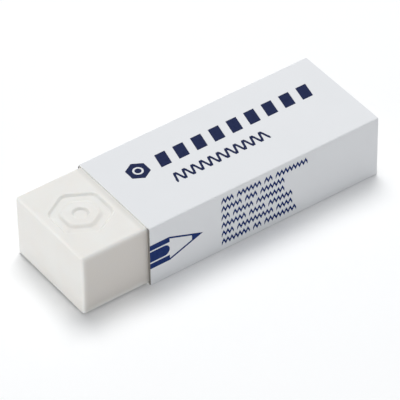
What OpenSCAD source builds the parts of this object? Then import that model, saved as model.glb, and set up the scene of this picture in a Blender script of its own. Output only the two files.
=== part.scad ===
// A pencil eraser in its card sleeve: a moulded vinyl block with a sunk relief on the end that
// stands out, one strip of card folded and glued around the rest, and the print on the card.
// Millimetres. +X runs from the bare end of the block to the covered end, the titled panel faces
// up and the panel with the pencil faces -Y. The origin is under the middle of the whole thing,
// on the surface that the sleeve rests on.

/* [Block] */
// Length of the block
block_l = 65; // [58:0.5:75]
// Width of the block
block_w = 21; // [17:0.5:28]
// Height of the block
block_h = 13; // [10:0.5:18]
// Radius of the four upright edges
corner_r = 0.6; // [0.3:0.1:2]
// Radius of the four upper edges
edge_r = 0.5; // [0.2:0.1:1.5]
// Radius of the four lower edges
foot_r = 0.2; // [0.1:0.1:1.5]

/* [Relief on the bare end] */
// Distance from the relief to the block's end and to the sleeve
relief_margin = 1.6; // [1:0.1:2.8]
// Width of the sunk hexagonal band
relief_band = 1.8; // [0.8:0.1:2]
// Width of the sunk hexagonal dot inside the band, across its sides
relief_dot = 2.8; // [1.5:0.1:4]
// Depth of the relief
relief_depth = 0.5; // [0.1:0.05:1]

/* [Sleeve] */
// Length of the sleeve
sleeve_l = 51.4; // [44:0.1:60]
// Length of block left bare
bare_l = 14.1; // [12.5:0.1:20]
// Thickness of the card
card_t = 0.3; // [0.2:0.05:0.5]
// Inside radius of the folds
fold_r = 0.05; // [0.05:0.05:0.4]
// Gap from the card to the front of the block
front_gap = 0.45; // [0.05:0.05:0.6]
// Gap from the glue flap to the back of the block
back_gap = 0.05; // [0.02:0.01:0.3]
// Gap from the card to the top of the block
top_gap = 0.03; // [0.02:0.01:0.3]
// Gap from the card to the underside of the block
rest_gap = 0.03; // [0.02:0.01:0.2]
// Distance from the bottom panel up to the edge of the glue flap, folded down behind the block
flap_foot = 1.5; // [0.5:0.1:5]
// Distance from the top panel's face down to the cut edge of the back panel
seam_drop = 0.8; // [0.6:0.1:3]

/* [Print] */
// Thickness of the ink
ink_t = 0.03; // [0.02:0.01:0.06]

/* [Print on the top panel] */
// Width of the hexagonal mark across its corners
mark_d = 4.7; // [3:0.1:5]
// Diameter of the dot in the mark
mark_dot_d = 1.3; // [0.8:0.1:1.6]
// Width of the bare ring around the dot
mark_ring = 0.4; // [0.2:0.05:0.5]
// Distance from the sleeve's near end to the middle of the mark
mark_x = 7.5; // [5:0.1:8.5]
// Distance from the sleeve's near end to the title and the scribble
title_x = 11.5; // [10.8:0.1:13]
// Distance from the panel's middle line back to the foot of the title
title_y = 1.2; // [0.5:0.1:2]
// Height of the title, a bold row of slanted blocks
title_h = 3.5; // [2:0.1:4.5]
// Width of each slanted block
title_block_w = 2.3; // [1.5:0.1:3]
// Spacing of the slanted blocks
title_pitch = 4; // [3.5:0.05:5]
// Sideways lean of each slanted block, from foot to top
title_lean = 0.8; // [0:0.1:1.5]
// Least card left bare past the title
title_end_margin = 4.5; // [2:0.1:8]
// Height of the scribbled line, crest to crest
scribble_h = 2.4; // [1:0.1:3]
// Length of one wave of the scribbled line
scribble_pitch = 1.9; // [1.5:0.1:3]
// Stroke of the scribbled line
scribble_stroke = 0.55; // [0.25:0.01:0.6]
// Distance from the panel's middle line forward to the middle of the scribble
scribble_y = 2.6; // [2:0.1:4]
// Least card left bare past the scribble
scribble_end_margin = 18.2; // [10:0.1:24]

/* [Print on the front panel] */
// Length of the pencil, from the sleeve's near end to its point
pencil_l = 11.6; // [8:0.1:13]
// Height of the pencil
pencil_h = 5.5; // [3:0.1:7]
// Length of the pencil's painted barrel
barrel_l = 4.3; // [2:0.1:5.5]
// Length of the pencil's lead
lead_l = 2.4; // [1:0.1:3]
// Width of the pencil's outline and of the bare lines between its flats
pencil_line = 0.36; // [0.2:0.02:0.6]
// Distance from the middle of the panel down to the pencil
pencil_drop = 0; // [0:0.05:1]
// Distance from the sleeve's near end to the small lines
lines_x = 15.8; // [14:0.1:20]
// Distance from the top of the panel down to the middle of the first line
lines_top = 1.8; // [1.5:0.1:3]
// Least distance from the foot of the panel to the last line
lines_foot = 1; // [0.5:0.1:2]
// Spacing of the small lines
lines_pitch = 1.94; // [1.7:0.02:2.6]
// Height of the small lines' zigzag
lines_h = 1.6; // [0.8:0.05:1.7]
// Length of one wave of the zigzag
lines_wave = 0.9; // [0.6:0.05:1.2]
// Stroke of the zigzag, measured straight up
lines_stroke = 0.7; // [0.2:0.05:0.8]
// Space between two words
word_gap = 0.75; // [0.6:0.05:1.5]

/* [Hidden] */

VINYL = "#ebe9e4";
CARD = "#e4e6e9";
INK = "#242d6c";

CURVE_FN = 48;
// How far a cut runs out past the face that it starts from
CUT = 1;
// Points along one wave of the scribble
WAVE_STEPS = 12;
// Lengths of the words in each small line, counted in waves of the zigzag
LINES = [[3, 6, 2, 8], [5, 3, 6], [2, 5, 7], [6, 4, 6], [3, 9, 4], [7, 2, 8]];

// The whole thing, end to end
total_l = max(block_l, bare_l + sleeve_l);
block_x = -total_l / 2;
sleeve_x = block_x + bare_l;

block_z = card_t + rest_gap;
block_top = block_z + block_h;
sleeve_h = block_top + top_gap + card_t;
// Two layers of card stand behind the block: the glue flap, and the back panel over it
sleeve_w = card_t + front_gap + block_w + back_gap + 2 * card_t;
block_y = card_t + front_gap + block_w / 2 - sleeve_w / 2;
fold_out = fold_r + card_t;
fold_y = sleeve_w / 2 - fold_out;
fold_top = sleeve_h - fold_out;

// The relief fills the bare end, as far as its length and its width allow
relief_flats = min(bare_l, block_w * cos(30)) - 2 * relief_margin;

// What fits along the top panel
title_room = sleeve_l - title_x - title_end_margin - title_block_w - title_lean;
title_n = floor(title_room / title_pitch) + 1;
scribble_n = floor((sleeve_l - title_x - scribble_end_margin) / scribble_pitch);

// The small lines that fit down the front panel
lines_room = sleeve_h - lines_top - lines_foot - lines_h / 2;
lines_n = min(len(LINES), floor(lines_room / lines_pitch) + 1);

// The sharpened part of the pencil, and the height of its outline measured straight up
cone_l = pencil_l - barrel_l;
cone_line = pencil_line * norm([cone_l, pencil_h / 2]) / cone_l;
lead_h = pencil_h * lead_l / cone_l;
// An outer flat of the pencil; the middle one is twice as high
flat_h = (pencil_h - 2 * pencil_line) / 4;

// A rectangle about the origin with rounded corners, those of its upper half by their own radius
module rounded_rect(x, y, r, upper_r) {
    hull()
        for (side = [-1, 1], end = [[-1, r], [1, upper_r]])
            translate([side * (x / 2 - end[1]), end[0] * (y / 2 - end[1])])
                circle(r = end[1], $fn = CURVE_FN);
}

// A hexagon about the origin with two of its sides across X
module hexagon(flats) {
    rotate(30)
        circle(r = flats / 2 / cos(30), $fn = 6);
}

// A block with all its edges rounded: what three crossing bars share
module rounded_block() {
    intersection() {
        linear_extrude(block_h, center = true)
            rounded_rect(block_l, block_w, corner_r, corner_r);
        rotate([90, 0, 0])
            linear_extrude(block_w, center = true)
                rounded_rect(block_l, block_h, foot_r, edge_r);
        rotate([90, 0, 90])
            linear_extrude(block_l, center = true)
                rounded_rect(block_w, block_h, foot_r, edge_r);
    }
}

// A pencil seen from its end, as a cut to sink into the block's top: a hexagonal band and dot
module relief() {
    translate([0, 0, -relief_depth])
        linear_extrude(relief_depth + CUT) {
            difference() {
                hexagon(relief_flats);
                hexagon(relief_flats - 2 * relief_band);
            }
            hexagon(relief_dot);
        }
}

module eraser_block() {
    color(VINYL)
        difference() {
            translate([block_x + block_l / 2, block_y, block_z + block_h / 2])
                rounded_block();
            translate([block_x + bare_l / 2, block_y, block_top])
                relief();
        }
}

// A quarter bend of the card about its own centre; quarter 0 is the one at the top and the back
module fold(y, z, quarter) {
    translate([y, z])
        rotate(quarter * 90)
            intersection() {
                difference() {
                    circle(r = fold_out, $fn = CURVE_FN);
                    circle(r = fold_r, $fn = CURVE_FN);
                }
                square(fold_out);
            }
}

// The strip of card in section, Y to the right and Z up, from the back panel round to the flap
module card_section() {
    translate([sleeve_w / 2 - card_t, fold_out])
        square([card_t, sleeve_h - seam_drop - fold_out]);
    fold(fold_y, fold_out, 3);
    translate([-fold_y, 0])
        square([2 * fold_y, card_t]);
    fold(-fold_y, fold_out, 2);
    translate([-sleeve_w / 2, fold_out])
        square([card_t, fold_top - fold_out]);
    fold(-fold_y, fold_top, 1);
    translate([-fold_y, sleeve_h - card_t])
        square([2 * fold_y - card_t, card_t]);
    fold(fold_y - card_t, fold_top, 0);
    translate([sleeve_w / 2 - 2 * card_t, flap_foot])
        square([card_t, fold_top - flap_foot]);
}

module sleeve() {
    color(CARD)
        translate([sleeve_x, 0, 0])
            rotate([90, 0, 90])
                linear_extrude(sleeve_l)
                    card_section();
}

// A line of even width drawn from left to right through the points
module stroke(points, width) {
    last = len(points) - 1;
    // Half the width, measured straight up at each point
    lift = [for (i = [0:last])
        let (run = points[min(i + 1, last)] - points[max(i - 1, 0)])
            width / 2 * norm(run) / run[0]];
    polygon(concat(
        [for (i = [0:last]) points[i] - [0, lift[i]]],
        [for (i = [last:-1:0]) points[i] + [0, lift[i]]]
    ));
}

// A pencil seen from its end, with a bare ring around its lead
module mark() {
    difference() {
        hexagon(mark_d * cos(30));
        circle(d = mark_dot_d + 2 * mark_ring, $fn = CURVE_FN);
    }
    circle(d = mark_dot_d, $fn = CURVE_FN);
}

module title() {
    for (i = [0:title_n - 1])
        translate([i * title_pitch, 0])
            polygon([
                [0, 0],
                [title_block_w, 0],
                [title_block_w + title_lean, title_h],
                [title_lean, title_h]
            ]);
}

// A smooth wavy line, starting in a trough
module scribble() {
    rise = (scribble_h - scribble_stroke) / 2;
    stroke(
        [for (i = [0:scribble_n * WAVE_STEPS])
            [i * scribble_pitch / WAVE_STEPS, -cos(i * 360 / WAVE_STEPS) * rise]],
        scribble_stroke
    );
}

// The sharpened wood as an outline, with the lead filled in
module pencil_cone() {
    difference() {
        polygon([
            [barrel_l, -pencil_h / 2],
            [pencil_l, 0],
            [barrel_l, pencil_h / 2]
        ]);
        polygon([
            [barrel_l - pencil_line, cone_line - pencil_h / 2],
            [barrel_l, cone_line - pencil_h / 2],
            [pencil_l - lead_l, cone_line - lead_h / 2],
            [pencil_l - lead_l, lead_h / 2 - cone_line],
            [barrel_l, pencil_h / 2 - cone_line],
            [barrel_l - pencil_line, pencil_h / 2 - cone_line]
        ]);
    }
}

// The three painted flats that show; the middle one ends in a half round
module pencil_barrel() {
    for (y = [-pencil_h / 2, pencil_h / 2 - flat_h])
        translate([0, y])
            square([barrel_l, flat_h]);
    translate([0, -flat_h])
        square([barrel_l - flat_h, 2 * flat_h]);
    translate([barrel_l - flat_h, 0])
        circle(r = flat_h, $fn = CURVE_FN);
}

// A zigzag as long as one word
module word(waves) {
    last = 2 * waves;
    rise = lines_h - lines_stroke;
    function bend(i) = [i * lines_wave / 2, (i % 2 - 0.5) * rise];
    polygon(concat(
        [for (i = [0:last]) bend(i) - [0, lines_stroke / 2]],
        [for (i = [last:-1:0]) bend(i) + [0, lines_stroke / 2]]
    ));
}

// The waves in the words before word i
function waves_before(line, i) = i == 0 ? 0 : line[i - 1] + waves_before(line, i - 1);

module small_lines() {
    for (row = [0:lines_n - 1], i = [0:len(LINES[row]) - 1])
        translate([waves_before(LINES[row], i) * lines_wave + i * word_gap, -row * lines_pitch])
            word(LINES[row][i]);
}

module top_print() {
    translate([mark_x, title_y + title_h / 2])
        mark();
    translate([title_x, title_y])
        title();
    translate([title_x, -scribble_y])
        scribble();
}

module front_print() {
    translate([0, sleeve_h / 2 - pencil_drop]) {
        pencil_barrel();
        pencil_cone();
    }
    translate([lines_x, sleeve_h - lines_top])
        small_lines();
}

module sleeve_print() {
    color(INK)
        translate([sleeve_x, 0, 0]) {
            translate([0, 0, sleeve_h])
                linear_extrude(ink_t)
                    top_print();
            translate([0, -sleeve_w / 2, 0])
                rotate([90, 0, 0])
                    linear_extrude(ink_t)
                        front_print();
        }
}

eraser_block();
sleeve();
sleeve_print();
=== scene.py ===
"""A vinyl eraser in its printed card sleeve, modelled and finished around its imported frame.

Lengths are in metres, in the frame's own axes: +X runs from the bare end of the block to the
covered end, +Z goes up through the titled panel, and -Y comes out of the panel with the pencil.
"""

import math  # noqa: E402

import bmesh  # noqa: E402
import bpy  # noqa: E402
from bpy.props import FloatProperty, FloatVectorProperty, PointerProperty  # noqa: E402
from mathutils import Matrix, Vector  # noqa: E402


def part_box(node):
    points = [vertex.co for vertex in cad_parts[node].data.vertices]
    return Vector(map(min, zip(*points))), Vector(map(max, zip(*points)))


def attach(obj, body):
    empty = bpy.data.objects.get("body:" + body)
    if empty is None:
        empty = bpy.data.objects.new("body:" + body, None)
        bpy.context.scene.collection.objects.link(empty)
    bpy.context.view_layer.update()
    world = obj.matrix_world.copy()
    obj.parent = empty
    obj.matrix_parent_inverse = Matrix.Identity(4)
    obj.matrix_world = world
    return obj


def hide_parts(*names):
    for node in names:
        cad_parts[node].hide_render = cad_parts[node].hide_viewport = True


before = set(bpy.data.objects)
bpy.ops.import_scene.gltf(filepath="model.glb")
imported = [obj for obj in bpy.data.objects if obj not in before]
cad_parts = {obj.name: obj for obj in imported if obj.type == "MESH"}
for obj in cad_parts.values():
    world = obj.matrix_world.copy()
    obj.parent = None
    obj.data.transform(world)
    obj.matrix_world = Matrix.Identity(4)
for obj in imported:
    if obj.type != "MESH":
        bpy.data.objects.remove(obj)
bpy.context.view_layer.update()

bl_info = {
    "name": "Eraser in a card sleeve",
    "version": (1, 0, 0),
    "blender": (4, 5, 0),
    "location": "3D View > Sidebar > Eraser",
    "description": "Models a vinyl eraser in a folded card sleeve, and the studio around it",
    "category": "Add Mesh",
}

MM = 0.001
# Two points closer than this are the same point
TOUCH = 0.002 * MM
# Two directions lie along each other if the cosine between them is over this
ALIGNED = 0.999
# Edges flatter than this are shaded as one curved surface
SMOOTH_ANGLE = math.radians(40)
# Half of a hexagon's width across its sides, as a share of half of it across its corners
SIDE_TO_CORNER = math.cos(math.radians(30))
# Steps down each flank of the relief, and sides on its dot
FLANK_STEPS = 8
DOT_SIDES = 48

BLOCK_LOW, BLOCK_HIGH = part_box("eraser_block")
SLEEVE_LOW, SLEEVE_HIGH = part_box("sleeve")
# Height of the block, up to just short of the card
BLOCK_HEIGHT = 13.025 * MM
# Where the pressed band is cut, in its own widths from the card's edge, and how deep it is there
PRESSED_PROFILE = (
    (-1.0, 0.0),
    (-0.85, 0.12),
    (-0.7, 0.45),
    (-0.55, 0.85),
    (-0.4, 1.0),
    (-0.25, 0.75),
    (-0.1, 0.2),
    (0.0, 0.0),
)
# Each lamp's side of the eraser, its distance, and the width and height of its softbox
LAMPS = {
    "key": ((0.19, 0.29, 1.0), 1.0, (0.5, 0.5)),
    "left": ((-1.0, -0.1, 0.1), 0.8, (0.9, 0.15)),
    "front": ((-0.3, -1.0, 0.15), 0.8, (0.5, 0.2)),
}
# Width of the floor, and the nearest and farthest things that the camera sees
FLOOR_SIZE = 6
NEAREST_SEEN, FARTHEST_SEEN = 0.01, 20
# Width of the camera's sensor, in millimetres as its lens is
SENSOR_WIDTH = 36


def linear(code):
    """The linear red, green and blue of an sRGB hex colour."""
    parts = [int(code[i : i + 2], 16) / 255 for i in (1, 3, 5)]
    return [p / 12.92 if p <= 0.04045 else ((p + 0.055) / 1.055) ** 2.4 for p in parts]


def length(name, description, default):
    """A length setting, in metres."""
    return FloatProperty(
        name=name,
        description=description,
        default=default,
        min=0.0,
        precision=5,
        unit="LENGTH",
        subtype="DISTANCE",
    )


def number(name, description, default, least=0.0, unit="NONE"):
    """A plain setting, or one in that unit."""
    return FloatProperty(
        name=name, description=description, default=default, min=least, unit=unit
    )


def angle(name, description, degrees):
    """An angle setting, from its value in degrees."""
    return FloatProperty(
        name=name, description=description, default=math.radians(degrees), subtype="ANGLE"
    )


def tint(name, description, default):
    """A colour setting, from its linear red, green and blue."""
    return FloatVectorProperty(
        name=name,
        description=description,
        default=default,
        min=0.0,
        max=1.0,
        size=3,
        subtype="COLOR",
    )


def colour(name, description, code):
    """A colour setting, from its sRGB hex value."""
    return tint(name, description, linear(code))


def point(name, description, default):
    """A place setting, in metres."""
    return FloatVectorProperty(
        name=name,
        description=description,
        default=default,
        size=3,
        precision=5,
        unit="LENGTH",
        subtype="TRANSLATION",
    )


class EraserBlockSettings(bpy.types.PropertyGroup):
    """Sizes and colours of the vinyl block."""

    corner_radius: length("Upright edges", "Radius of the four upright edges", 0.6 * MM)
    edge_radius: length("Upper edges", "Radius of the four upper edges", 0.5 * MM)
    foot_radius: length("Lower edges", "Radius of the four lower edges", 0.2 * MM)
    relief_margin: length(
        "Relief margin", "Distance from the relief to the block's end and to the card", 1.6 * MM
    )
    relief_band: length("Relief band", "Width of the sunk hexagonal band", 1.8 * MM)
    relief_dot: length("Relief dot", "Diameter of the sunk dot", 2.8 * MM)
    relief_depth: length("Relief depth", "Depth of the relief", 0.5 * MM)
    relief_flank: length("Relief flank", "Width of the relief's steep flanks", 0.6 * MM)
    relief_slope: length("Relief slope", "Width of the gentle flank inside the band", 1.0 * MM)
    relief_corner: length("Relief corners", "Reach of the rounding of its corners", 0.7 * MM)
    pressed_band: length(
        "Pressed band", "Width of the shallow band pressed into the top beside the card", 1.5 * MM
    )
    pressed_depth: length("Pressed depth", "Greatest depth of that band", 0.06 * MM)
    vinyl: colour("Vinyl", "Colour of the vinyl", "#E9E8E4")
    vinyl_warm: colour("Vinyl clouds", "Colour of the faint clouds in the vinyl", "#E8E5E0")
    # Painted highlight: a paler colour along the block's edges, standing in for the light that they
    # catch
    edge_highlight: colour("Burnished edges", "Colour of the block's edges", "#EFEDE9")
    edge_highlight_reach: length("Pale edges", "Reach of that colour from each edge", 0.5 * MM)
    # Painted shade: the two long sides are coloured darker, standing in for the shade on them; it
    # stops short of the edges, leaving paler strips there as painted highlight
    painted_shading: colour("Handled sides", "Colour of the two long sides, which the card rubs", "#D8D3CD")
    side_shade_margin: length("Rub margin", "Distance from the edges at which the sides grey", 1.3 * MM)
    # Painted shade on the top beside the card's edge, where the card's step shades it
    card_edge_shade: colour("Rubbed vinyl", "Colour of the vinyl beside the card's edge", "#DAD8D3")
    # Painted shadow: a dark line on the sides just inside the card's edge, standing in for the
    # shade in the gap between card and block
    gap_shadow: colour("Dust line", "Colour of the dust caught just inside the card's edge", "#A9A59F")
    gap_shadow_width: length("Dust line width", "Width of the line of dust", 0.6 * MM)
    # How far in from the sides the painted side shade and the painted gap shadow reach
    side_depth: length("Side depth", "How far in from the sides that grey and dust go", 0.25 * MM)


class EraserSleeveSettings(bpy.types.PropertyGroup):
    """Sizes and colours of the card sleeve."""

    card: length("Card", "Thickness of the card", 0.3 * MM)
    fold_radius: length("Folds", "Outside radius of the folds", 0.3 * MM)
    crease_radius: length("Creases", "Inside radius of the folds", 0.04 * MM)
    flap_foot: length(
        "Flap foot", "Distance from the underside up to the edge of the glue flap", 1.5 * MM
    )
    seam_drop: length(
        "Seam drop", "Distance from the top down to the cut edge of the back panel", 0.8 * MM
    )
    glue: length("Glue", "Gap between the two layers of card in the seam", 0.02 * MM)
    coated: colour("Coated face", "Colour of the card's coated face", "#E4E5E7")
    core: colour("Core", "Colour of the card's cut edges", "#F4F4F2")
    # Painted shade: the cut edges at the sides are coloured dark where they border the shaded gap
    # beside the block
    cut_edge_shade: colour("Soiled edges", "Colour that hands give the side cut edges", "#6F6A64")
    cut_edge_shade_reach: length("Soiled reach", "Distance from the sides at which that ends", 0.8 * MM)
    reverse: colour("Reverse", "Colour of the card's uncoated face", "#B8B5AE")


class EraserPrintSettings(bpy.types.PropertyGroup):
    """Colours of the print on the sleeve."""

    ink: colour("Ink", "Colour of the ink on the top panel", "#142048")
    ink_front: colour("Front ink", "Colour of the thinner film on the front panel", "#19316C")
    front_starts: length("Front start", "Depth below the top at which that ink starts", 0.1 * MM)


class EraserStageSettings(bpy.types.PropertyGroup):
    """The floor, the lamps and the camera."""

    floor: colour("Floor", "Colour of the floor", "#F9F9F9")
    floor_drop: length("Floor drop", "Gap that keeps the floor clear of the card", 0.02 * MM)
    key: number("Key lamp", "Power of the lamp overhead", 7.0, unit="POWER")
    left: number("Left lamp", "Power of the lamp beyond the bare end", 2.35, unit="POWER")
    front: number("Front lamp", "Power of the lamp in front", 0.5, unit="POWER")
    world: number("Room", "Strength of the even light from all round", 0.34)
    sky: tint("Room colour", "Colour of the even light", (0.93, 0.965, 1.0))
    glow: number("Floor glow", "What the floor adds for the camera alone", 0.06)
    azimuth: angle("Azimuth", "Turn of the camera round the eraser", -35.243)
    elevation: angle("Elevation", "Height of the camera above the horizon", 41.217)
    roll: angle("Roll", "Turn of the camera about its own line of sight", -0.908)
    distance: length("Distance", "Distance from the camera to the point it looks at", 668 * MM)
    lens: number("Lens", "Focal length for a 36 mm sensor", 329.49, least=1.0, unit="CAMERA")
    aim: point(
        "Aim", "The point that the camera looks at", (-0.89 * MM, -1.78 * MM, 4.656 * MM)
    )


# Modelling


def clear_selection():
    """Leaves edit mode with nothing selected."""
    if bpy.context.object and bpy.context.object.mode != "OBJECT":
        bpy.ops.object.mode_set(mode="OBJECT")
    bpy.ops.object.select_all(action="DESELECT")


def pick(piece, kind, test):
    """Selects the vertices, edges or faces of a piece that pass the test, in edit mode."""
    bpy.ops.object.mode_set(mode="EDIT")
    bpy.ops.mesh.select_mode(type=kind)
    bpy.ops.mesh.select_all(action="DESELECT")
    mesh = bmesh.from_edit_mesh(piece.data)
    for part in {"VERT": mesh.verts, "EDGE": mesh.edges, "FACE": mesh.faces}[kind]:
        part.select_set(test(part))
    bmesh.update_edit_mesh(piece.data)


def level(edge, height):
    """True for an edge that lies level at that height."""
    return all(abs(v.co.z - height) < TOUCH for v in edge.verts)


def upright(edge):
    """True for an edge that stands straight up."""
    a, b = (v.co for v in edge.verts)
    return (a - b).to_2d().length < TOUCH


def bevel(radius, segments):
    """Rounds the selected edges."""
    bpy.ops.mesh.bevel(
        offset=radius, offset_type="OFFSET", segments=segments, profile=0.5, affect="EDGES"
    )


def add_modifier(piece, kind, **settings):
    """Adds a modifier with its settings and applies it."""
    clear_selection()
    piece.select_set(True)
    bpy.context.view_layer.objects.active = piece
    modifier = piece.modifiers.new(kind.title(), kind)
    for field, value in settings.items():
        setattr(modifier, field, value)
    bpy.ops.object.modifier_apply(modifier=modifier.name)


def soften(piece):
    """Shades the bends smoothly and keeps the large faces flat."""
    clear_selection()
    piece.select_set(True)
    bpy.context.view_layer.objects.active = piece
    bpy.ops.object.shade_smooth_by_angle(angle=SMOOTH_ANGLE)
    add_modifier(piece, "WEIGHTED_NORMAL", keep_sharp=True, weight=100)


def flank_steps(width, height):
    """The inset and the rise of each step along a soft flank."""
    risen = [(1 - math.cos(math.pi * i / FLANK_STEPS)) / 2 for i in range(FLANK_STEPS + 1)]
    return [(width / FLANK_STEPS, height * (b - a)) for a, b in zip(risen, risen[1:])]


def add_relief(context, kind, corners, radius, middle, steps):
    """A closed outline drawn at the middle and shaped by insets, with its last face selected."""
    clear_selection()
    bpy.ops.mesh.primitive_circle_add(
        vertices=corners, radius=radius, fill_type="NGON", location=middle
    )
    shape = context.object
    shape.name = kind
    bpy.ops.object.transform_apply(location=True, rotation=True, scale=True)
    pick(shape, "FACE", lambda face: True)
    bpy.ops.mesh.normals_make_consistent(inside=False)
    if bmesh.from_edit_mesh(shape.data).faces[:][0].normal.z < 0:
        bpy.ops.mesh.flip_normals()
    for inset, rise in steps:
        bpy.ops.mesh.inset(thickness=inset, depth=rise, use_even_offset=True)
    return shape


class ERASER_OT_block(bpy.types.Operator):
    """Models the vinyl block, with the hexagon and the dot sunk into its bare end."""

    bl_idname = "eraser.block"
    bl_label = "Block"
    bl_options = {"REGISTER", "UNDO"}

    def execute(self, context):
        sizes = context.scene.eraser_block
        top = BLOCK_LOW.z + BLOCK_HEIGHT
        block = self.mould(context, sizes, top)
        self.sink_relief(context, block, sizes, top)
        self.press_band(block, sizes, top)
        block.name = block.data.name = "vinyl_block"
        soften(block)

        block.data.materials.append(vinyl(sizes))
        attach(block, "block")
        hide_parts("eraser_block")
        return {"FINISHED"}

    @staticmethod
    def mould(context, sizes, top):
        """The block with its edges rounded, still open at its top."""
        clear_selection()
        high = Vector((BLOCK_HIGH.x, BLOCK_HIGH.y, top))
        bpy.ops.mesh.primitive_cube_add(
            size=1, location=(BLOCK_LOW + high) / 2, scale=high - BLOCK_LOW
        )
        block = context.object
        bpy.ops.object.transform_apply(location=True, rotation=True, scale=True)
        pick(block, "EDGE", upright)
        bevel(sizes.corner_radius, 6)
        pick(block, "EDGE", lambda e: level(e, top))
        bevel(sizes.edge_radius, 6)
        pick(block, "EDGE", lambda e: level(e, BLOCK_LOW.z))
        bevel(sizes.foot_radius, 4)
        pick(block, "FACE", lambda f: f.normal.z > ALIGNED)
        bpy.ops.mesh.delete(type="FACE")
        bpy.ops.object.mode_set(mode="OBJECT")
        return block

    def sink_relief(self, context, block, sizes, top):
        """Closes the block's top with the band and the dot sunk into it."""
        middle = Vector(
            ((BLOCK_LOW.x + SLEEVE_LOW.x) / 2, (BLOCK_LOW.y + BLOCK_HIGH.y) / 2, top)
        )
        flats = SLEEVE_LOW.x - BLOCK_LOW.x - 2 * sizes.relief_margin
        corner = flats / 2 / SIDE_TO_CORNER

        # The hexagonal band: down the outer flank, across, and up the inner one
        down = flank_steps(sizes.relief_flank, -sizes.relief_depth)
        up = flank_steps(sizes.relief_slope, sizes.relief_depth)
        mean_flank = (sizes.relief_flank + sizes.relief_slope) / 2
        across = [(sizes.relief_band - mean_flank, 0)]
        band = add_relief(context, "band", 6, corner, middle, down + across + up)
        bpy.ops.mesh.delete(type="FACE")
        pick(band, "EDGE", lambda e: not e.is_boundary and self.is_mitre(e, middle))
        bevel(sizes.relief_corner, 6)
        bpy.ops.object.mode_set(mode="OBJECT")

        # The dot, down its flank to a flat floor
        radius = (sizes.relief_dot + sizes.relief_flank) / 2
        dot = add_relief(context, "dot", DOT_SIDES, radius, middle, down)
        bpy.ops.object.mode_set(mode="OBJECT")

        # All three become one skin, with the flat parts of the top filled in between them
        clear_selection()
        for piece in (dot, band, block):
            piece.select_set(True)
        context.view_layer.objects.active = block
        bpy.ops.object.join()
        inner_corner = corner - (sizes.relief_band + mean_flank) / SIDE_TO_CORNER
        self.fill_between(block, middle, radius, inner_corner)
        self.fill_between(block, middle, (corner + inner_corner) / 2, math.inf)
        bpy.ops.mesh.select_all(action="SELECT")
        bpy.ops.mesh.remove_doubles(threshold=TOUCH)
        bpy.ops.mesh.normals_make_consistent(inside=False)

    @staticmethod
    def press_band(block, sizes, top):
        """Presses the shallow band that the sleeve leaves in the top, just outside its edge."""
        lowest = top - 2 * sizes.pressed_depth
        for along, depth in PRESSED_PROFILE:
            place = SLEEVE_LOW.x + along * sizes.pressed_band
            pick(
                block,
                "FACE",
                lambda f: f.normal.z > 0.9 and all(v.co.z > lowest for v in f.verts),
            )
            bpy.ops.mesh.bisect(plane_co=(place, 0, 0), plane_no=(1, 0, 0))
            pick(
                block,
                "VERT",
                lambda v: abs(v.co.x - place) < TOUCH and abs(v.co.z - top) < TOUCH,
            )
            bpy.ops.transform.translate(value=(0, 0, -depth * sizes.pressed_depth))
        bpy.ops.object.mode_set(mode="OBJECT")

    @staticmethod
    def is_mitre(edge, middle):
        """True for an edge that runs from a corner of the hexagon towards its middle."""
        a, b = ((v.co - middle).to_2d() for v in edge.verts)
        return (a - b).length > TOUCH and abs(a.normalized().cross(b.normalized())) < 1 - ALIGNED

    @staticmethod
    def fill_between(piece, middle, nearest, farthest):
        """Fills the flat ring between two open outlines about the middle."""
        pick(
            piece,
            "EDGE",
            lambda e: e.is_boundary
            and all(
                nearest - TOUCH < (v.co - middle).to_2d().length < farthest + TOUCH
                for v in e.verts
            ),
        )
        bpy.ops.mesh.fill(use_beauty=True)


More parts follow.
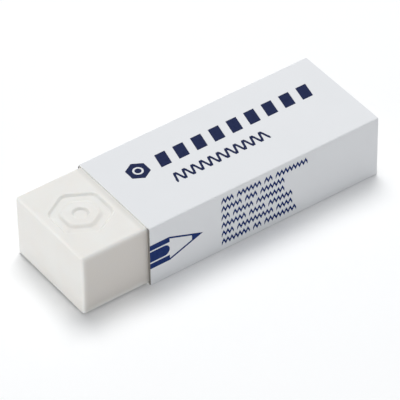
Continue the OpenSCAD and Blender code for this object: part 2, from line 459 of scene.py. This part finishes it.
class ERASER_OT_sleeve(bpy.types.Operator):
    """Folds the card sleeve from one strip, glued where the back panel laps over its flap."""

    bl_idname = "eraser.sleeve"
    bl_label = "Sleeve"
    bl_options = {"REGISTER", "UNDO"}

    def execute(self, context):
        sizes = context.scene.eraser_sleeve
        low, high = SLEEVE_LOW, SLEEVE_HIGH
        flap_y = high.y - sizes.card - sizes.glue

        # The bottom panel, then each next panel pulled out of the last one's edge
        clear_selection()
        bpy.ops.mesh.primitive_plane_add(
            size=1, location=((low.x + high.x) / 2, (low.y + high.y) / 2, low.z)
        )
        sleeve = context.object
        sleeve.scale = (high.x - low.x, high.y - low.y, 1)
        bpy.ops.object.transform_apply(location=True, rotation=True, scale=True)
        for start, moves in (
            (high.y, [(0, 0, high.z - sizes.seam_drop - low.z)]),
            (
                low.y,
                [
                    (0, 0, high.z - low.z),
                    (0, flap_y - low.y, 0),
                    (0, 0, low.z + sizes.flap_foot - high.z),
                ],
            ),
        ):
            pick(
                sleeve,
                "EDGE",
                lambda e: level(e, low.z) and all(abs(v.co.y - start) < TOUCH for v in e.verts),
            )
            for move in moves:
                bpy.ops.mesh.extrude_region_move(TRANSFORM_OT_translate={"value": move})
        bpy.ops.mesh.select_all(action="SELECT")
        bpy.ops.mesh.normals_make_consistent(inside=False)
        bpy.ops.object.mode_set(mode="OBJECT")
        sleeve.name = sleeve.data.name = "card_sleeve"

        sleeve.data.materials.append(coated_card(sizes))
        sleeve.data.materials.append(card_reverse(sizes))
        sleeve.data.materials.append(card_core(sizes))
        add_modifier(
            sleeve,
            "SOLIDIFY",
            thickness=sizes.card,
            offset=-1,
            use_even_offset=True,
            material_offset=1,
            material_offset_rim=2,
        )

        # Rounded outside and creased inside
        pick(sleeve, "EDGE", lambda e: self.is_fold(e, 0))
        bevel(sizes.fold_radius, 8)
        pick(sleeve, "EDGE", lambda e: self.is_fold(e, 1))
        bevel(sizes.crease_radius, 3)
        bpy.ops.object.mode_set(mode="OBJECT")
        soften(sleeve)
        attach(sleeve, "sleeve")
        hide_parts("sleeve")
        return {"FINISHED"}

    @staticmethod
    def is_fold(edge, face):
        """True for a fold's edge, on the face of the card that has that material."""
        a, b = (v.co for v in edge.verts)
        on_face = all(f.material_index == face for f in edge.link_faces)
        lengthwise = abs((b - a).normalized().x) > ALIGNED
        return on_face and lengthwise and edge.calc_face_angle(0.0) > 1.0


class ERASER_OT_print(bpy.types.Operator):
    """Gives the print on the sleeve its ink."""

    bl_idname = "eraser.print"
    bl_label = "Print"
    bl_options = {"REGISTER", "UNDO"}

    def execute(self, context):
        ink = printing_ink(context.scene.eraser_print)
        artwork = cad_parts["sleeve_print"]
        if not artwork.data.materials:
            artwork.data.materials.append(ink)
        for place in artwork.material_slots:
            place.material = ink
        return {"FINISHED"}


# Materials


def new_material(name):
    """An empty node material."""
    material = bpy.data.materials.new(name)
    material.use_nodes = True
    material.node_tree.nodes.clear()
    return material


def add_node(owner, kind, inputs=None, **settings):
    """Adds a node with its settings; an input is a value, or another node's output to link."""
    made = owner.node_tree.nodes.new("ShaderNode" + kind)
    for field, value in settings.items():
        setattr(made, field, value)
    for name, value in (inputs or {}).items():
        socket = next(s for s in made.inputs if name in (s.identifier, s.name))
        if isinstance(value, bpy.types.NodeSocket):
            owner.node_tree.links.new(value, socket)
        else:
            socket.default_value = value
    return made


def noise(material, size, detail=2.0, stretch=(1, 1, 1)):
    """Even noise on the piece's own coordinates, with blotches about that many metres across."""
    place = add_node(material, "TexCoord").outputs["Object"]
    turned = add_node(material, "Mapping", {"Vector": place, "Scale": stretch})
    made = add_node(
        material,
        "TexNoise",
        {"Vector": turned.outputs[0], "Scale": 1 / size, "Detail": detail, "Roughness": 0.5},
    )
    return made.outputs[0]


def between(material, factor, low, high):
    """A number that runs from low to high as the factor goes from 0.3 to 0.7."""
    return add_node(
        material,
        "MapRange",
        {"Value": factor, "From Min": 0.3, "From Max": 0.7, "To Min": low, "To Max": high},
    ).outputs[0]


def arithmetic(owner, operation, first, second=0.0, clamp=False):
    """The result of one sum on a number or two."""
    made = add_node(
        owner,
        "Math",
        {"Value": first, "Value_001": second},
        operation=operation,
        use_clamp=clamp,
    )
    return made.outputs[0]


def ease(material, value, start, end):
    """A smooth step from 0 to 1 as a value goes from start to end."""
    return add_node(
        material,
        "MapRange",
        {"Value": value, "From Min": start, "From Max": end},
        interpolation_type="SMOOTHSTEP",
    ).outputs[0]


def mix(owner, factor, first, second):
    """The mix of two colours by a factor; a colour is three numbers, or another node's output."""
    first, second = (
        shade if isinstance(shade, bpy.types.NodeSocket) else [*shade, 1]
        for shade in (first, second)
    )
    made = add_node(
        owner,
        "Mix",
        {"Factor_Float": factor, "A_Color": first, "B_Color": second},
        data_type="RGBA",
    )
    return made.outputs[2]


def darker(shade, share):
    """That share of a colour."""
    return [part * share for part in shade]


def add_bump(material, height, distance, inputs=None):
    """A bump of that height on the surface."""
    inputs = {"Height": height, "Strength": 1.0, "Distance": distance, **(inputs or {})}
    return add_node(material, "Bump", inputs).outputs[0]


def coordinates(material):
    """The piece's own X, Y and Z."""
    place = add_node(material, "TexCoord").outputs["Object"]
    return add_node(material, "SeparateXYZ", {"Vector": place}).outputs


def apart(material, coordinate, place):
    """How far a coordinate is from a place, on either side."""
    off = arithmetic(material, "SUBTRACT", coordinate, place)
    return arithmetic(material, "ABSOLUTE", off)


def nearness(material, coordinate, middle, half, reach):
    """How near a coordinate is to the face on either side: 0 past the reach, 1 on the face."""
    off = apart(material, coordinate, middle)
    return ease(material, off, half - reach, half - 0.05 * reach)


def shade_beside_card(material, base, sizes):
    """Paints shade on the top a little, beside the card's edge."""
    place = coordinates(material)
    top = BLOCK_LOW.z + BLOCK_HEIGHT
    # Strongest near the pressed band's deepest line, and gone by both its edges
    off = apart(material, place["X"], SLEEVE_LOW.x - 0.3 * sizes.pressed_band)
    away = ease(material, off, 0.0, 0.7 * sizes.pressed_band)
    across = arithmetic(material, "SUBTRACT", 1.0, away)
    height = ease(material, place["Z"], top - 0.4 * MM, top - 0.1 * MM)
    return mix(material, arithmetic(material, "MULTIPLY", across, height), base, sizes.card_edge_shade)


def painted_shading(material, base, sizes):
    """Paints shade on the long sides, a painted highlight along the edges and a painted shadow line
    just inside the card's edge.
    """
    place = coordinates(material)
    high = Vector((BLOCK_HIGH.x, BLOCK_HIGH.y, BLOCK_LOW.z + BLOCK_HEIGHT))
    middle, half = (BLOCK_LOW + high) / 2, (high - BLOCK_LOW) / 2

    def near(axis, reach):
        i = "XYZ".index(axis)
        return nearness(material, place[axis], middle[i], half[i], reach)

    # Painted shadow on the sides, in a patchy line just inside the card's edge, where the gap
    # beside the block lies in shade
    side = near("Y", sizes.side_depth)
    line = sizes.gap_shadow_width / 2
    outside_gap_line = nearness(material, place["X"], SLEEVE_LOW.x + line, line, line)
    patchy = between(material, noise(material, 1.2 * MM), 0.75, 1.0)
    gap_shade = arithmetic(material, "MULTIPLY", side, arithmetic(material, "SUBTRACT", 1.0, outside_gap_line))
    gap_shade = arithmetic(material, "MULTIPLY", gap_shade, patchy)

    # Painted shade on the sides, short of their edges, which leaves paler strips along them as
    # painted highlight
    for axis in "XZ":
        away = arithmetic(material, "SUBTRACT", 1.0, near(axis, sizes.side_shade_margin))
        side = arithmetic(material, "MULTIPLY", side, away)

    # Painted highlight along the edges: an edge is where the block's faces on two axes are near
    edge = near("X", sizes.edge_highlight_reach)
    for axis in "YZ":
        edge = arithmetic(material, "ADD", edge, near(axis, sizes.edge_highlight_reach))
    edge = arithmetic(material, "SUBTRACT", edge, 1.0, clamp=True)

    # Painted shade on the sides, painted highlight on the edges and painted shadow in the line by
    # the card
    base = mix(material, side, base, sizes.painted_shading)
    base = mix(material, edge, base, sizes.edge_highlight)
    return mix(material, gap_shade, base, sizes.gap_shadow)


def vinyl(sizes):
    """Chalk-filled plasticised PVC, moulded: soft, matte and a little waxy."""
    material = new_material("Moulded PVC vinyl")
    clouds = between(material, noise(material, 7 * MM), 0.0, 1.0)
    base = mix(material, clouds, sizes.vinyl, sizes.vinyl_warm)
    # Painted shade on the top beside the card's edge
    base = shade_beside_card(material, base, sizes)
    # Painted shade on the long sides, painted highlight on the edges and a painted shadow line at
    # the card's edge
    base = painted_shading(material, base, sizes)
    grain = noise(material, 0.35 * MM, detail=3.0)
    swell = noise(material, 5 * MM, detail=1.0)
    fine = add_bump(material, grain, 0.004 * MM)
    bump = add_bump(material, swell, 0.06 * MM, {"Normal": fine})
    shader = add_node(
        material,
        "BsdfPrincipled",
        {
            "Base Color": base,
            "Roughness": between(material, grain, 0.45, 0.55),
            "IOR": 1.5,
            "Specular IOR Level": 0.22,
            "Subsurface Weight": 0.25,
            "Subsurface Radius": (1.0, 0.85, 0.7),
            "Subsurface Scale": 0.8 * MM,
            "Normal": bump,
        },
        subsurface_method="RANDOM_WALK",
    )
    add_node(material, "OutputMaterial", {"Surface": shader.outputs[0]})
    return material


def coated_card(sizes):
    """Clay-coated board: very even, smooth and faintly satin, with the fibres just felt below."""
    material = new_material("Coated white card")
    fibres = noise(material, 0.6 * MM, detail=3.0, stretch=(0.4, 1, 1))
    clouds = between(material, noise(material, 9 * MM), 0.0, 1.0)
    base = mix(material, clouds, sizes.coated, darker(sizes.coated, 0.985))
    bump = add_bump(material, fibres, 0.003 * MM)
    shader = add_node(
        material,
        "BsdfPrincipled",
        {
            "Base Color": base,
            "Roughness": between(material, fibres, 0.55, 0.65),
            "IOR": 1.45,
            "Specular IOR Level": 0.25,
            "Normal": bump,
        },
    )
    add_node(material, "OutputMaterial", {"Surface": shader.outputs[0]})
    return material


def card_reverse(sizes):
    """The uncoated face of the board: dull, with short grey fibres."""
    material = new_material("Uncoated board")
    fibres = noise(material, 0.4 * MM, detail=4.0, stretch=(0.3, 1, 1))
    grey = between(material, fibres, 0.0, 1.0)
    base = mix(material, grey, sizes.reverse, darker(sizes.reverse, 0.85))
    shader = add_node(
        material, "BsdfPrincipled", {"Base Color": base, "Roughness": 0.9, "IOR": 1.45}
    )
    add_node(material, "OutputMaterial", {"Surface": shader.outputs[0]})
    return material


def card_core(sizes):
    """The board's cut edge: bleached pulp, dull and fibrous, with painted shade darkening it at the
    sides.
    """
    material = new_material("Cut board edge")
    fibres = noise(material, 0.12 * MM, detail=4.0, stretch=(1, 0.5, 0.5))
    pulp = between(material, fibres, 0.0, 1.0)
    base = mix(material, pulp, sizes.core, darker(sizes.core, 0.9))
    middle = (SLEEVE_LOW.y + SLEEVE_HIGH.y) / 2
    half = SLEEVE_HIGH.y - middle
    # Painted shade towards the sides
    side = nearness(material, coordinates(material)["Y"], middle, half, sizes.cut_edge_shade_reach)
    base = mix(material, side, base, sizes.cut_edge_shade)
    shader = add_node(
        material, "BsdfPrincipled", {"Base Color": base, "Roughness": 0.95, "IOR": 1.45}
    )
    add_node(material, "OutputMaterial", {"Surface": shader.outputs[0]})
    return material


def printing_ink(sizes):
    """Offset ink, dried flat into the coating: even, dark and faintly satin."""
    material = new_material("Offset printing ink")
    film = noise(material, 0.5 * MM, detail=3.0)
    density = between(material, film, 0.0, 1.0)
    above, front = (
        mix(material, density, ink, darker(ink, 0.8)) for ink in (sizes.ink, sizes.ink_front)
    )
    below_top = SLEEVE_HIGH.z - sizes.front_starts
    in_front = arithmetic(material, "LESS_THAN", coordinates(material)["Z"], below_top)
    base = mix(material, in_front, above, front)
    shader = add_node(
        material,
        "BsdfPrincipled",
        {
            "Base Color": base,
            "Roughness": between(material, film, 0.5, 0.6),
            "IOR": 1.45,
            "Specular IOR Level": 0.1,
        },
    )
    add_node(material, "OutputMaterial", {"Surface": shader.outputs[0]})
    return material


def seen_directly(owner):
    """1 where the camera sees a thing itself, or mirrored, or through glass, and 0 elsewhere."""
    path = add_node(owner, "LightPath").outputs
    seen = arithmetic(owner, "MAXIMUM", path["Is Camera Ray"], path["Is Glossy Ray"])
    return arithmetic(owner, "MAXIMUM", seen, path["Is Transmission Ray"])


def floor_paper(sizes):
    """White studio paper: it keeps the shadow and turns open floor white for the camera."""
    material = new_material("White studio paper")
    paper = add_node(material, "BsdfDiffuse", {"Color": [*sizes.floor, 1]})
    strength = arithmetic(material, "MULTIPLY", seen_directly(material), sizes.glow)
    glow = add_node(material, "Emission", {"Strength": strength})
    both = add_node(
        material, "AddShader", {"Shader": paper.outputs[0], "Shader_001": glow.outputs[0]}
    )
    add_node(material, "OutputMaterial", {"Surface": both.outputs[0]})
    return material


# The stage


class ERASER_OT_stage(bpy.types.Operator):
    """Sets up the floor, the lamps, the room's light and the camera."""

    bl_idname = "eraser.stage"
    bl_label = "Stage"
    bl_options = {"REGISTER", "UNDO"}

    def execute(self, context):
        sizes = context.scene.eraser_stage
        clear_selection()
        under = SLEEVE_LOW.z - sizes.floor_drop
        bpy.ops.mesh.primitive_plane_add(size=FLOOR_SIZE, location=(0, 0, under))
        floor = context.object
        floor.name = "floor"
        bpy.ops.object.transform_apply(location=True, rotation=True, scale=True)
        floor.data.materials.append(floor_paper(sizes))

        for name, (toward, distance, size) in LAMPS.items():
            self.add_lamp(name, toward, distance, size, getattr(sizes, name))
        self.light_room(context, sizes)
        self.place_camera(context, sizes)
        context.scene.view_settings.view_transform = "Standard"
        return {"FINISHED"}

    @staticmethod
    def add_lamp(name, toward, distance, size, power):
        """A softbox that faces the eraser from that side."""
        toward = Vector(toward).normalized()
        clear_selection()
        bpy.ops.object.light_add(type="AREA", location=toward * distance)
        lamp = bpy.context.object
        lamp.name = name + "_lamp"
        lamp.rotation_euler = toward.to_track_quat("Z", "Y").to_euler()
        lamp.data.shape = "RECTANGLE"
        lamp.data.size, lamp.data.size_y = size
        lamp.data.energy = power
        lamp.visible_camera = False

    @staticmethod
    def light_room(context, sizes):
        """Even light from all round, which the camera sees as white."""
        world = bpy.data.worlds.new("room")
        context.scene.world = world
        world.use_nodes = True
        world.node_tree.nodes.clear()
        seen = seen_directly(world)
        strength = add_node(
            world, "MapRange", {"Value": seen, "To Min": sizes.world, "To Max": 1.0}
        )
        shade = mix(world, seen, sizes.sky, (1, 1, 1))
        light = add_node(
            world, "Background", {"Color": shade, "Strength": strength.outputs[0]}
        )
        add_node(world, "OutputWorld", {"Surface": light.outputs[0]})

    @staticmethod
    def place_camera(context, sizes):
        """Puts the camera at its distance from the aim, turned to face it."""
        turn = (
            Matrix.Rotation(sizes.azimuth, 4, "Z")
            @ Matrix.Rotation(math.pi / 2 - sizes.elevation, 4, "X")
            @ Matrix.Rotation(sizes.roll, 4, "Z")
        )
        clear_selection()
        bpy.ops.object.camera_add()
        camera = context.object
        camera.matrix_world = (
            Matrix.Translation(sizes.aim) @ turn @ Matrix.Translation((0, 0, sizes.distance))
        )
        camera.data.sensor_width = SENSOR_WIDTH
        camera.data.lens = sizes.lens
        camera.data.clip_start, camera.data.clip_end = NEAREST_SEEN, FARTHEST_SEEN
        context.scene.camera = camera


class ERASER_PT_parts(bpy.types.Panel):
    """Lists the eraser's pieces and their settings in the sidebar."""

    bl_idname = "ERASER_PT_parts"
    bl_label = "Eraser"
    bl_space_type = "VIEW_3D"
    bl_region_type = "UI"
    bl_category = "Eraser"

    def draw(self, context):
        for operator, group in PARTS:
            column = self.layout.box().column()
            column.operator(operator.bl_idname)
            settings = getattr(context.scene, group)
            for field in settings.__annotations__:
                column.prop(settings, field)


SETTINGS = {
    "eraser_block": EraserBlockSettings,
    "eraser_sleeve": EraserSleeveSettings,
    "eraser_print": EraserPrintSettings,
    "eraser_stage": EraserStageSettings,
}
PARTS = (
    (ERASER_OT_block, "eraser_block"),
    (ERASER_OT_sleeve, "eraser_sleeve"),
    (ERASER_OT_print, "eraser_print"),
    (ERASER_OT_stage, "eraser_stage"),
)
CLASSES = (*SETTINGS.values(), *(operator for operator, _ in PARTS), ERASER_PT_parts)


def register():
    for made in CLASSES:
        bpy.utils.register_class(made)
    for name, group in SETTINGS.items():
        setattr(bpy.types.Scene, name, PointerProperty(type=group))


def unregister():
    for name in SETTINGS:
        delattr(bpy.types.Scene, name)
    for made in reversed(CLASSES):
        bpy.utils.unregister_class(made)


def main():
    register()
    bpy.ops.eraser.block()
    bpy.ops.eraser.sleeve()
    bpy.ops.eraser.print()
    bpy.ops.eraser.stage()


if __name__ == "__main__":
    main()
